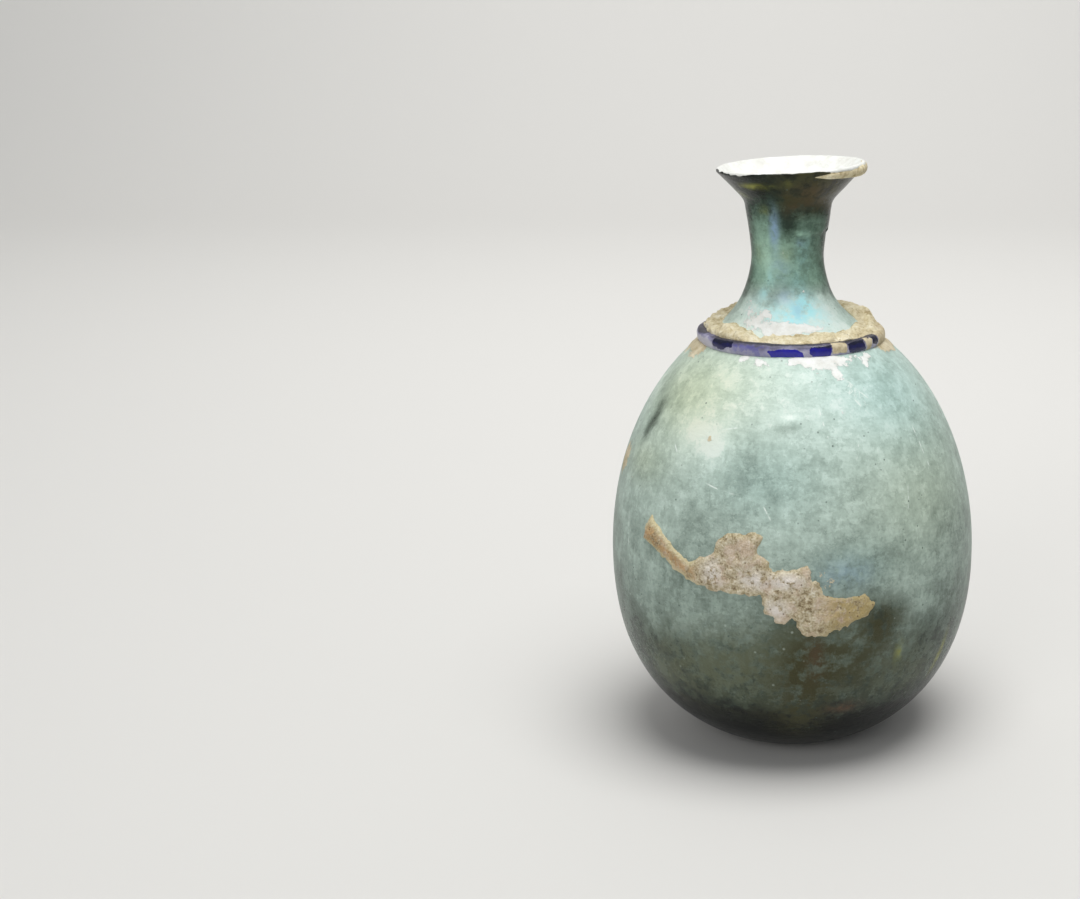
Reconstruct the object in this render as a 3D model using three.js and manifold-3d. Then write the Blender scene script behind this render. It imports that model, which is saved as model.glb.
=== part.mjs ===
// A free-blown perfume flask of pale aqua glass, weathered in the ground: an egg-shaped body with a small
// flat foot, a waisted neck, and a flared mouth with a rounded lip. A coil of cobalt-blue glass is laid round
// the shoulder. Burial soil is packed on the ledge behind the coil, and a crust of it clings to the front.
// Millimetres, +Z up. The origin is on the standing surface, under the middle of the body, and the crusted
// side faces -Y.

import * as THREE from "three";
import { mergeVertices } from "three/addons/utils/BufferGeometryUtils.js";
import Module from "manifold-3d";

// Body: half an ellipse above the belly, and a slightly squarer half below it, cut off flat at the foot.
const BELLY_RADIUS = 37.5;
const BELLY_HEIGHT = 39.5;
const SHOULDER_RISE = 50.8; // from the belly to where the upper ellipse would close
const FOOT_DEPTH = 41.2; // from the belly to where the lower half would close
const FOOT_SQUARENESS = 2.25; // 2 is a true ellipse
const KICK_RADIUS = 7.5; // the dished middle of the foot
const KICK_DEPTH = 0.9;

// Neck: the outside of the glass, as radius and height, from the coil's seat up to the flare's edge.
const COIL_SEAT_HEIGHT = 84.2;
const NECK_STATIONS = [
  [14.5, 86.4],
  [10.9, 90.0],
  [8.7, 94.0],
  [7.4, 99.4],
  [7.6, 104.0],
  [8.5, 110.0],
  [9.2, 112.0],
  [11.3, 114.3],
  [14.75, 117.95],
];
const LIP_HEIGHT = 118.7; // top of the lip on the axis

// Walls: the foot's thick glass thins out by FOOT_WALL_TO, the neck's wall is reached at NECK_WALL_FROM, and
// the flare thins out from LIP_WALL_FROM to the lip.
const BODY_WALL = 1.8;
const NECK_WALL = 1.9;
const FOOT_WALL = 3.0;
const LIP_WALL = 0.9;
const FOOT_WALL_TO = 20;
const NECK_WALL_FROM = 94;
const LIP_WALL_FROM = 111;

// Hand work: the neck stands a little to one side, the mouth comes part of the way back and dips towards -X.
const NECK_OFFSET = -0.95;
const NECK_OFFSET_FROM = 80;
const NECK_OFFSET_TO = 94;
const MOUTH_RETURN = 0.6; // as a share of the neck's offset
const MOUTH_RETURN_FROM = 109;
const MOUTH_TILT = Math.tan(THREE.MathUtils.degToRad(2.6));
const MOUTH_TILT_FROM = 111;

// Coil of blue glass
const COIL_RADIUS = 17.75; // to the middle of the trail
const COIL_HEIGHT = 84.6;
const COIL_THICKNESS = 2.75;
const COIL_SIDES = 10;

// Burial soil on the ledge behind the coil. The bank is highest at the back, towards +X.
const SOIL_BANK_LOW = 1.7; // above the middle of the coil
const SOIL_BANK_HIGH = 3.9;
const SOIL_BANK_LEAN = THREE.MathUtils.degToRad(62);

// The bank's section: distance outwards from the middle of the coil, and height as a share of the bank's.
const SOIL_SECTION = [
  [-8.5, -0.5],
  [0.3, -0.1],
  [0.6, 0.75],
  [-1.1, 0.95],
  [-3.6, 1.1],
  [-8.5, 1.2],
];

// The front crust's outline seen from the front, as distance to the side and height.
const CRUST_THICKNESS = 0.6;
const CRUST_OUTLINE = [
  [-27.4, 52.9],
  [-29.2, 50.4],
  [-28.9, 48.3],
  [-25.1, 45.5],
  [-20.2, 42.6],
  [-16.0, 41.3],
  [-5.7, 40.8],
  [-4.9, 37.8],
  [-2.9, 35.8],
  [-1.5, 35.5],
  [0.0, 37.1],
  [2.2, 33.7],
  [3.3, 32.8],
  [6.5, 32.7],
  [8.1, 33.7],
  [11.4, 34.7],
  [14.3, 36.4],
  [15.8, 38.6],
  [13.9, 40.7],
  [10.8, 40.0],
  [5.9, 41.3],
  [5.2, 43.2],
  [3.7, 43.9],
  [3.0, 47.2],
  [0.7, 46.4],
  [-3.5, 46.1],
  [-6.3, 49.2],
  [-5.6, 52.4],
  [-7.2, 53.1],
  [-9.3, 52.6],
  [-12.7, 52.8],
  [-14.3, 50.0],
  [-17.6, 47.2],
  [-20.2, 46.3],
  [-24.4, 49.3],
  [-26.3, 51.2],
];

// Meshing: facets round the axis, points along each stretch of the profile, and the gap between solids.
const SEGMENTS = 54;
const LOWER_BODY_POINTS = 9;
const UPPER_BODY_POINTS = 12;
const NECK_POINTS = 13;
const LIP_POINTS = 5;
const OUTSIDE_POINTS_PER_INSIDE = 2;
const MERGE_DISTANCE = 1e-4;
const GAP = 0.3;

const wasm = await Module();
wasm.setup();

// A superellipse quarter: `turn` runs from 0 at the pole to a right angle at the belly.
function eggPoint(turn, rise, power) {
  const across = BELLY_RADIUS * Math.sin(turn) ** (2 / power);
  const along = rise * Math.cos(turn) ** (2 / power);
  return [across, along];
}

// `count` points of the lower half, from the foot's edge up to just under the belly.
function lowerBody(count) {
  const footTurn = Math.acos((BELLY_HEIGHT / FOOT_DEPTH) ** (FOOT_SQUARENESS / 2));
  const points = [];
  for (let i = 0; i < count; i++) {
    const turn = THREE.MathUtils.lerp(footTurn, Math.PI / 2, i / count);
    const [r, drop] = eggPoint(turn, FOOT_DEPTH, FOOT_SQUARENESS);
    points.push(new THREE.Vector2(r, i === 0 ? 0 : BELLY_HEIGHT - drop));
  }
  return points;
}

// `count` points of the upper half, from the belly up to the coil's seat.
function upperBody(count) {
  const seatTurn = Math.acos((COIL_SEAT_HEIGHT - BELLY_HEIGHT) / SHOULDER_RISE);
  const points = [];
  for (let i = 0; i < count; i++) {
    const turn = THREE.MathUtils.lerp(Math.PI / 2, seatTurn, i / (count - 1));
    const [r, rise] = eggPoint(turn, SHOULDER_RISE, 2);
    points.push(new THREE.Vector2(r, BELLY_HEIGHT + rise));
  }
  return points;
}

// `count` points of the neck, on a smooth curve through its stations, from above the coil's seat.
function neck(seat, count) {
  const stations = NECK_STATIONS.map(([r, z]) => new THREE.Vector2(r, z));
  const curve = new THREE.SplineCurve([seat, ...stations]);
  return curve.getSpacedPoints(count).slice(1);
}

// Unit normal of a profile at point i, pointing away from the axis.
function profileNormal(points, i) {
  const before = points[Math.max(i - 1, 0)];
  const after = points[Math.min(i + 1, points.length - 1)];
  const along = after.clone().sub(before).normalize();
  return new THREE.Vector2(along.y, -along.x);
}

// The same profile moved outwards by `distance(point)`.
function offsetProfile(points, distance) {
  return points.map((point, i) => {
    const step = profileNormal(points, i).multiplyScalar(distance(point));
    return point.clone().add(step);
  });
}

// The rounded lip: half a turn round the edge of the flare, from its outside to its inside.
function lip(flare, count) {
  const outwards = profileNormal(flare, flare.length - 1);
  const roll = outwards.clone().multiplyScalar(LIP_WALL / 2);
  const centre = flare.at(-1).clone().sub(roll);
  const points = [];
  for (let i = 1; i <= count; i++) {
    const turn = (Math.PI * i) / count;
    points.push(roll.clone().rotateAround(new THREE.Vector2(), turn).add(centre));
  }
  return points;
}

// Thickness of the glass at a point of the profile.
function wallAt({ y: height }) {
  const intoFoot = 1 - THREE.MathUtils.smoothstep(height, 0, FOOT_WALL_TO);
  const intoNeck = THREE.MathUtils.smoothstep(height, COIL_SEAT_HEIGHT, NECK_WALL_FROM);
  const intoLip = THREE.MathUtils.smoothstep(height, LIP_WALL_FROM, LIP_HEIGHT);
  const body = THREE.MathUtils.lerp(BODY_WALL, FOOT_WALL, intoFoot);
  const tube = THREE.MathUtils.lerp(body, NECK_WALL, intoNeck);
  return THREE.MathUtils.lerp(tube, LIP_WALL, intoLip);
}

// Where hand work puts a point of the true round form.
function handWork(point) {
  const { x, z } = point;
  const neckShare = THREE.MathUtils.smoothstep(z, NECK_OFFSET_FROM, NECK_OFFSET_TO);
  const mouthShare = MOUTH_RETURN * THREE.MathUtils.smoothstep(z, MOUTH_RETURN_FROM, LIP_HEIGHT);
  const tiltShare = THREE.MathUtils.smoothstep(z, MOUTH_TILT_FROM, LIP_HEIGHT);
  point.x += NECK_OFFSET * (neckShare - mouthShare);
  point.z += MOUTH_TILT * x * tiltShare;
  return point;
}

function shapeByHand(geometry) {
  const position = geometry.getAttribute("position");
  const point = new THREE.Vector3();
  for (let i = 0; i < position.count; i++) {
    handWork(point.fromBufferAttribute(position, i));
    position.setXYZ(i, point.x, point.y, point.z);
  }
  return geometry;
}

// A profile of radius and height, turned round the Z axis and given the hand work.
function turned(profile) {
  const geometry = new THREE.LatheGeometry(profile, SEGMENTS).rotateX(Math.PI / 2);
  return shapeByHand(geometry);
}

function toSolid(geometry) {
  const bare = geometry.clone();
  bare.deleteAttribute("normal");
  bare.deleteAttribute("uv");
  const merged = mergeVertices(bare, MERGE_DISTANCE);
  const vertProperties = merged.getAttribute("position").array;
  const triVerts = new Uint32Array(merged.index.array);
  return new wasm.Manifold(new wasm.Mesh({ numProp: 3, vertProperties, triVerts }));
}

function toGeometry(solid) {
  const { vertProperties, triVerts } = solid.getMesh();
  const geometry = new THREE.BufferGeometry();
  geometry.setAttribute("position", new THREE.BufferAttribute(vertProperties, 3));
  geometry.setIndex(new THREE.BufferAttribute(triVerts, 1));
  geometry.computeVertexNormals();
  return geometry;
}

// The outside of the glass from the foot's edge to the top of the flare.
const shoulder = upperBody(UPPER_BODY_POINTS);
const outside = [
  ...lowerBody(LOWER_BODY_POINTS),
  ...shoulder,
  ...neck(shoulder.at(-1), NECK_POINTS),
];

// The flask's whole profile: the dished foot, the outside, the lip, and the inside back down to the floor.
function flaskGeometry() {
  const foot = [new THREE.Vector2(0, KICK_DEPTH), new THREE.Vector2(KICK_RADIUS, 0)];
  const walls = offsetProfile(outside, (point) => -wallAt(point)).slice(1, -1);
  const inside = walls.filter((_, i) => i % OUTSIDE_POINTS_PER_INSIDE === 0).reverse();
  const floor = new THREE.Vector2(0, FOOT_WALL + KICK_DEPTH);
  return turned([...foot, ...outside, ...lip(outside, LIP_POINTS), ...inside, floor]);
}

// The outside of the flask as a filled solid, grown by `gap`. It cuts neighbours to fit the glass.
function envelope(gap) {
  const grown = offsetProfile(outside, () => gap);
  const bottom = new THREE.Vector2(0, -gap);
  const top = new THREE.Vector2(0, grown.at(-1).y);
  return toSolid(turned([bottom, ...grown, top]));
}

// The trail as a full round ring of the given thickness.
function trail(thickness) {
  const section = [];
  for (let i = 0; i <= COIL_SIDES; i++) {
    const turn = (2 * Math.PI * (i % COIL_SIDES)) / COIL_SIDES;
    const r = COIL_RADIUS + (thickness / 2) * Math.cos(turn);
    const z = COIL_HEIGHT + (thickness / 2) * Math.sin(turn);
    section.push(new THREE.Vector2(r, z));
  }
  return toSolid(turned(section));
}

function coilGeometry() {
  return toGeometry(trail(COIL_THICKNESS).subtract(envelope(GAP)));
}

// How far the soil bank stands above the middle of the coil, by direction round the axis.
function bankHeight(direction) {
  const towardsHighest = 0.5 + 0.5 * Math.cos(direction - SOIL_BANK_LEAN);
  return THREE.MathUtils.lerp(SOIL_BANK_LOW, SOIL_BANK_HIGH, towardsHighest);
}

// A ring of soil whose bank rises towards the back, cut to fit the glass and the coil.
function soilGeometry() {
  const section = SOIL_SECTION.map(([out, share]) => new THREE.Vector2(COIL_RADIUS + out, share));
  const ring = new THREE.LatheGeometry([...section, section[0]], SEGMENTS).rotateX(Math.PI / 2);
  const position = ring.getAttribute("position");
  for (let i = 0; i < position.count; i++) {
    const direction = Math.atan2(position.getY(i), position.getX(i));
    position.setZ(i, COIL_HEIGHT + position.getZ(i) * bankHeight(direction));
  }
  const bank = toSolid(shapeByHand(ring));
  return toGeometry(bank.subtract(envelope(GAP)).subtract(trail(COIL_THICKNESS + 2 * GAP)));
}

// The crust's outline driven through the front of the body, kept only in a thin layer on the glass.
function crustGeometry() {
  const outline = new THREE.Shape();
  outline.setFromPoints(CRUST_OUTLINE.map(([x, z]) => new THREE.Vector2(x, z)));
  const depth = BELLY_RADIUS + GAP + 2 * CRUST_THICKNESS;
  const block = new THREE.ExtrudeGeometry(outline, { depth, bevelEnabled: false });
  const front = toSolid(block.rotateX(Math.PI / 2));
  return toGeometry(front.intersect(envelope(GAP + CRUST_THICKNESS)).subtract(envelope(GAP)));
}

function piece(name, geometry, look) {
  const mesh = new THREE.Mesh(geometry, new THREE.MeshStandardMaterial(look));
  mesh.name = name;
  return mesh;
}

const flask = new THREE.Group();
flask.add(
  piece("glass_flask", flaskGeometry(), { color: 0xa9c6bd, roughness: 0.35, metalness: 0 }),
  piece("blue_coil", coilGeometry(), { color: 0x2a2a9c, roughness: 0.25, metalness: 0 }),
  piece("shoulder_soil", soilGeometry(), { color: 0xcdb692, roughness: 0.95, metalness: 0 }),
  piece("front_crust", crustGeometry(), { color: 0xb9a583, roughness: 0.95, metalness: 0 }),
);

export default flask;
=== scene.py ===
# %% [markdown]
# # A weathered glass perfume flask
# A glass blower made this flask without a mould: an egg-shaped body, a waisted neck, a flared mouth, and a
# thread of cobalt glass laid round the shoulder while it was hot. Long burial gave it a milky skin, a
# rainbow film on the neck, lime on the lip and soil behind the thread. This lesson builds those things one
# at a time.
#
# The solids that carry the sizes are loaded first. Every piece made here stands in the same frame, in
# metres.

# %% Load the solids
import math

import bpy
import numpy as np
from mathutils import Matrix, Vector


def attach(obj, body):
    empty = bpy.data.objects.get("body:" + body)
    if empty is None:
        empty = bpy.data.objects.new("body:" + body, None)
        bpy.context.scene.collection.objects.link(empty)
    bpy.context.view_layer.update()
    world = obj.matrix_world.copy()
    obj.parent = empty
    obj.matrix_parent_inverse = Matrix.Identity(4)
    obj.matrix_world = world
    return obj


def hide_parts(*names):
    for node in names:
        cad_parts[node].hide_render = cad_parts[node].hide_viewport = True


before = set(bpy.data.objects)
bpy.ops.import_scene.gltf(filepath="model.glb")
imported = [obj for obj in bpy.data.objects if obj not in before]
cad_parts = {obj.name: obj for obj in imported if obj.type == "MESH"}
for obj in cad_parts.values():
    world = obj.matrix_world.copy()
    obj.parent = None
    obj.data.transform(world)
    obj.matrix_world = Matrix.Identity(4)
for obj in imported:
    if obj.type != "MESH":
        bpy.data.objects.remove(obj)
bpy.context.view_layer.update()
MM = 0.001
print("solids:", sorted(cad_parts))

# %% [markdown]
# ## The camera
# The eye is 37 cm in front of the flask and 16 cm above the table, looking down by 15 degrees. The flask
# stands right of the middle of the picture. Turning the camera aside would do that too, but it would tip
# the mouth and widen the body on one side. So the lens is shifted, by the share of the picture's width that
# the flask stands off the middle.

# %% Set up the camera
PICTURE_WIDTH = 1080
SENSOR_WIDTH = 36.0
LENS = 61.8
EYE = (0.0, -370.8, 160.0)
LOOK_DOWN = math.radians(15.1)
FLASK_COLUMN = 792.3


def make_camera():
    data = bpy.data.cameras.new("camera")
    data.lens = LENS
    data.sensor_width = SENSOR_WIDTH
    data.shift_x = (PICTURE_WIDTH / 2 - FLASK_COLUMN) / PICTURE_WIDTH
    data.clip_start = 10 * MM
    camera = bpy.data.objects.new("camera", data)
    camera.location = [place * MM for place in EYE]
    camera.rotation_euler = (math.pi / 2 - LOOK_DOWN, 0, 0)
    bpy.context.scene.collection.objects.link(camera)
    bpy.context.scene.camera = camera
    return camera


camera = make_camera()
print("camera at", [round(v, 3) for v in camera.location])

# %% [markdown]
# ## Small tools
# A few helpers serve every piece. They turn a hex colour into the linear light that shaders work in, make
# repeatable random bumps, put a grid of points into a mesh with its attributes, and add a shader node. A
# noise texture could displace the mesh instead, but bumps worked out in numpy can also tear outlines and
# patches.

# %% Helpers for colour, noise, meshes and nodes
LATTICE = 40
OCTAVE_SHIFT = 7.3


def linear(hex_colour):
    """Linear RGBA of an sRGB hex colour: each channel goes through the sRGB curve."""
    srgb = np.array([int(hex_colour[i:i + 2], 16) for i in (1, 3, 5)]) / 255
    rgb = np.where(srgb <= 0.04045, srgb / 12.92, ((srgb + 0.055) / 1.055) ** 2.4)
    return (*rgb.tolist(), 1.0)


def smooth(value, start, end):
    """0 before start, 1 after end, and an S-shaped cubic between them."""
    share = np.clip((value - start) / (end - start), 0, 1)
    return share * share * (3 - 2 * share)


def bumps(points, size, octaves, seed):
    """Random bumps from -1 to 1. Random corner values of a lattice are blended by a smooth step along each
    axis, and each further octave has half the size and half the strength."""
    corner_values = np.random.default_rng(seed).uniform(-1, 1, (LATTICE,) * 3)
    total = 0.0
    for octave in range(octaves):
        spot = points / size * 2 ** octave + OCTAVE_SHIFT * octave
        cell = np.floor(spot).astype(int)
        share = smooth(spot - cell, 0, 1)
        for corner in np.ndindex(2, 2, 2):
            weight = np.where(corner, share, 1 - share).prod(axis=-1)
            i, j, k = np.moveaxis((cell + corner) % LATTICE, -1, 0)
            total = total + weight * corner_values[i, j, k] / 2 ** octave
    return total


def mesh_piece(name, points, faces, attributes, material):
    """An object at the origin from points in mm, faces as rows of indices, and one number per point each."""
    mesh = bpy.data.meshes.new(name)
    sides = np.array([len(face) for face in faces])
    mesh.vertices.add(len(points))
    mesh.vertices.foreach_set("co", (points * MM).astype(np.float32).ravel())
    mesh.loops.add(int(sides.sum()))
    mesh.loops.foreach_set("vertex_index", np.concatenate(faces).astype(np.int32))
    mesh.polygons.add(len(faces))
    mesh.polygons.foreach_set("loop_start", (np.cumsum(sides) - sides).astype(np.int32))
    mesh.polygons.foreach_set("use_smooth", np.ones(len(faces), bool))
    mesh.update(calc_edges=True)
    mesh.validate()
    for label, values in attributes.items():
        layer = mesh.attributes.new(label, "FLOAT", "POINT")
        layer.data.foreach_set("value", values.astype(np.float32).ravel())
    mesh.materials.append(material)
    piece = bpy.data.objects.new(name, mesh)
    bpy.context.scene.collection.objects.link(piece)
    print(name, len(points), "points,", len(faces), "faces")
    return piece


def grid_faces(rows, columns, wrap_rows=False, wrap_columns=False):
    """Four corners of each cell of a grid of points numbered row by row."""
    index = np.arange(rows * columns).reshape(rows, columns)
    if wrap_rows:
        index = np.vstack([index, index[:1]])
    if wrap_columns:
        index = np.hstack([index, index[:, :1]])
    corners = [index[:-1, :-1], index[:-1, 1:], index[1:, 1:], index[1:, :-1]]
    return np.stack([corner.ravel() for corner in corners], axis=1)


def add(tree, kind, inputs=None, out=0, ramp=None, **settings):
    """One shader node with its options, its inputs as links, values or hex colours, and the stops of its
    colour ramp. It gives back the output that is asked for."""
    node = tree.nodes.new("ShaderNode" + kind)
    for option, value in settings.items():
        setattr(node, option, value)
    for name, value in (inputs or {}).items():
        if isinstance(value, bpy.types.NodeSocket):
            tree.links.new(value, node.inputs[name])
        else:
            node.inputs[name].default_value = linear(value) if isinstance(value, str) else value
    for i, (place, colour) in enumerate(ramp or []):
        stops = node.color_ramp.elements
        stop = stops[i] if i < 2 else stops.new(place)
        stop.position = place
        stop.color = linear(colour)
    return node.outputs[out] if node.outputs else node


print("helpers ready, noise lattice of", LATTICE, "cells")

# %% [markdown]
# ## The blown form
# A blown vessel is round, so its outside is a profile turned round an axis. Below the belly the profile is
# a slightly squared half ellipse cut off at a small foot, above it a true half ellipse, and the neck is a
# smooth curve through a few measured radii. Drawing it as one spline would also work, but formulas keep the
# belly truly even. Hand work then moves the neck a little to one side and dips one side of the mouth.

# %% Work out the profile
BELLY_RADIUS = 37.5
BELLY_HEIGHT = 39.5
SHOULDER_RISE = 50.8
FOOT_DEPTH = 41.2
FOOT_SQUARENESS = 2.25
KICK_RADIUS = 7.5
KICK_DEPTH = 0.9
COIL_SEAT_HEIGHT = 84.2
NECK_RADII = [14.5, 10.9, 8.7, 7.4, 7.6, 8.5, 9.2, 11.3, 14.75]
NECK_HEIGHTS = [86.4, 90.0, 94.0, 99.4, 104.0, 110.0, 112.0, 114.3, 117.95]
BODY_WALL = 1.8
NECK_WALL = 1.9
LIP_WALL = 0.9
FOOT_WALL = 3.0
FINE = 240


def egg_half(turn, rise, power):
    """Radius and height of a squared quarter ellipse: sine and cosine of the turn to the power 2 / power."""
    across = BELLY_RADIUS * np.sin(turn) ** (2 / power)
    along = rise * np.clip(np.cos(turn), 0, 1) ** (2 / power)
    return across, along


def through(stations, count):
    """A smooth curve through stations: between two of them a cubic whose end slopes follow the neighbours."""
    padded = np.vstack([stations[:1], stations, stations[-1:]])
    place = np.linspace(0, len(stations) - 1, count)
    k = np.minimum(place.astype(int), len(stations) - 2)
    t = (place - k)[:, None]
    before, start, end, after = (padded[k + i] for i in range(4))
    slope_in = (end - before) / 2
    slope_out = (after - start) / 2
    cubic = 2 * start - 2 * end + slope_in + slope_out
    square = -3 * start + 3 * end - 2 * slope_in - slope_out
    return ((cubic * t + square) * t + slope_in) * t + start


def evenly(points, step):
    """The same line with its points about one step apart."""
    length = np.concatenate([[0], np.cumsum(np.linalg.norm(np.diff(points, axis=0), axis=1))])
    places = np.linspace(0, length[-1], max(2, round(length[-1] / step) + 1))
    return np.column_stack([np.interp(places, length, points[:, i]) for i in (0, 1)])


def normals_of(points):
    """Unit normals of a profile, to the right of its direction of travel."""
    along = np.gradient(points, axis=0)
    along = along / np.linalg.norm(along, axis=1, keepdims=True)
    return np.column_stack([along[:, 1], -along[:, 0]])


def outside_profile():
    foot_turn = math.acos((BELLY_HEIGHT / FOOT_DEPTH) ** (FOOT_SQUARENESS / 2))
    low_r, low_drop = egg_half(np.linspace(foot_turn, math.pi / 2, FINE), FOOT_DEPTH, FOOT_SQUARENESS)
    seat_turn = math.acos((COIL_SEAT_HEIGHT - BELLY_HEIGHT) / SHOULDER_RISE)
    high_r, high_rise = egg_half(np.linspace(math.pi / 2, seat_turn, FINE), SHOULDER_RISE, 2)
    lower = np.column_stack([low_r, BELLY_HEIGHT - low_drop])
    upper = np.column_stack([high_r, BELLY_HEIGHT + high_rise])
    stations = np.column_stack([NECK_RADII, NECK_HEIGHTS])
    neck = through(np.vstack([upper[-1:], stations]), FINE)
    return np.vstack([lower, upper[1:], neck[1:]])


OUTSIDE = outside_profile()
print("profile from", OUTSIDE[0].round(2), "to", OUTSIDE[-1].round(2))

# %% Hand work and the turned surface
NECK_OFFSET = -0.95
NECK_OFFSET_FROM = 80.0
NECK_OFFSET_TO = 94.0
MOUTH_RETURN = 0.6
MOUTH_RETURN_FROM = 109.0
MOUTH_TILT = math.tan(math.radians(2.6))
MOUTH_TILT_FROM = 111.0
LIP_HEIGHT = 118.7


def hand_work(points):
    """The neck slides to one side and the mouth comes part of the way back, and tilts to that side."""
    x, z = points[..., 0], points[..., 2]
    slide = smooth(z, NECK_OFFSET_FROM, NECK_OFFSET_TO)
    back = MOUTH_RETURN * smooth(z, MOUTH_RETURN_FROM, LIP_HEIGHT)
    tilt = smooth(z, MOUTH_TILT_FROM, LIP_HEIGHT)
    return np.stack([x + NECK_OFFSET * (slide - back), points[..., 1], z + MOUTH_TILT * x * tilt], axis=-1)


def round_about(turn, radius, height):
    """Points at an angle from the front (towards the eye), positive to the right, after hand work."""
    x = radius * np.sin(turn)
    y = -radius * np.cos(turn)
    return hand_work(np.stack(np.broadcast_arrays(x, y, height), axis=-1))


def glass_radius(height):
    """Radius of the outside of the glass at a height, for all heights above the foot."""
    return np.interp(height, OUTSIDE[:, 1], OUTSIDE[:, 0])


print("lip at", round_about(0.0, OUTSIDE[-1, 0], OUTSIDE[-1, 1]).round(2))

# %% [markdown]
# ## The body of the flask
# The glass is one closed wall: up the outside, round the lip, and down the inside. It could be a spun curve
# with a Solidify modifier, but the foot is thicker than the rest and the lip thinner, so the inside is
# worked out from the wall's thickness at each height. The profile is then turned round the axis as a grid
# of points.

# %% Close the profile and turn it
COLUMNS = 264
OUTSIDE_STEP = 0.58
INSIDE_STEP = 2.0
FOOT_WALL_TO = 20.0
NECK_WALL_FROM = 94.0
LIP_WALL_FROM = 111.0
LIP_POINTS = 9


def wall_at(height):
    """Thickness of the glass: the foot's fades into the body's, then into the neck's, then into the lip's."""
    body = BODY_WALL + (FOOT_WALL - BODY_WALL) * (1 - smooth(height, 0, FOOT_WALL_TO))
    tube = body + (NECK_WALL - body) * smooth(height, COIL_SEAT_HEIGHT, NECK_WALL_FROM)
    return tube + (LIP_WALL - tube) * smooth(height, LIP_WALL_FROM, LIP_HEIGHT)


def closed_profile():
    """Foot, outside, lip and inside in one line. A share goes with each point: 0 outside, 1 inside, and
    growing from 0 to 1 round the lip."""
    foot = evenly(np.array([[0, KICK_DEPTH], [KICK_RADIUS, 0], OUTSIDE[0]]), 1.0)[:-1]
    outside = evenly(OUTSIDE, OUTSIDE_STEP)
    out = normals_of(outside)[-1] * LIP_WALL / 2
    share = np.linspace(0, 1, LIP_POINTS)[1:-1]
    turn = math.pi * share[:, None]
    square = np.array([-out[1], out[0]])
    lip = outside[-1] - out + np.cos(turn) * out + np.sin(turn) * square
    inner = evenly(OUTSIDE, INSIDE_STEP)
    inside = (inner - normals_of(inner) * wall_at(inner[:, 1])[:, None])[:0:-1]
    floor = np.array([[0, FOOT_WALL + KICK_DEPTH]])
    line = np.vstack([foot, outside, lip, inside, floor])
    shares = np.concatenate([np.zeros(len(foot) + len(outside)), share, np.ones(len(inside) + 1)])
    return line, shares


PROFILE, INWARD_SHARES = closed_profile()
TURN = np.linspace(-math.pi, math.pi, COLUMNS, endpoint=False)[None, :]
DEGREES = np.degrees(TURN)
RADIUS = PROFILE[:, :1]
HEIGHT = PROFILE[:, 1:]
OUTWARDS = normals_of(PROFILE)
INWARD = INWARD_SHARES[:, None] * np.ones_like(TURN)
ON_OUTSIDE = np.where(INWARD < 1, 1.0, 0.0)
SPOT = round_about(TURN, RADIUS, HEIGHT)
print("glass grid", SPOT.shape)

# %% [markdown]
# ## Patches on the glass
# Burial marks a vessel in patches: here a stain, there a bare spot or a flake. They could be painted on an
# image, but an image has a fixed sharpness and needs a flattened map of the form. So a patch is a soft bell
# curve measured in mm on the glass, given by its strength, angle, height, width and length. The sums are
# stored on the points, and the material breaks their soft edges up into ragged ones.

# %% Patches on the glass


def from_patch(degrees, height, lean=0):
    """Distances in mm from a place on the glass, along and across a line that leans to the right."""
    around = (TURN - math.radians(degrees) + math.pi) % (2 * math.pi) - math.pi
    side = np.maximum(RADIUS, 4) * around
    up = HEIGHT - height
    slope = math.radians(lean)
    along = up * math.cos(slope) + side * math.sin(slope)
    across = side * math.cos(slope) - up * math.sin(slope)
    return along, across


def blot(degrees, height, wide, tall, lean=0):
    """A soft patch: a bell curve that falls to about a third at half the given width and height."""
    along, across = from_patch(degrees, height, lean)
    return np.exp(-(2 * across / wide) ** 2 - (2 * along / tall) ** 2)


def patches(rows):
    """The sum of soft patches on the outside. A row is strength, degrees, height, width, height of the patch,
    and its lean if it has one."""
    return sum(strength * blot(*place) for strength, *place in rows) * ON_OUTSIDE


def band(values, start, end, blur):
    """1 between two values and 0 outside them, with blurred ends."""
    return smooth(values, start - blur, start + blur) * (1 - smooth(values, end - blur, end + blur))


BROAD = bumps(SPOT, 16.0, 3, seed=1)
MIDDLE = bumps(SPOT, 6.0, 3, seed=2)
SMALL = bumps(SPOT, 2.4, 3, seed=6)
print("uneven by", BROAD.std().round(2), MIDDLE.std().round(2), SMALL.std().round(2))
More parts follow.
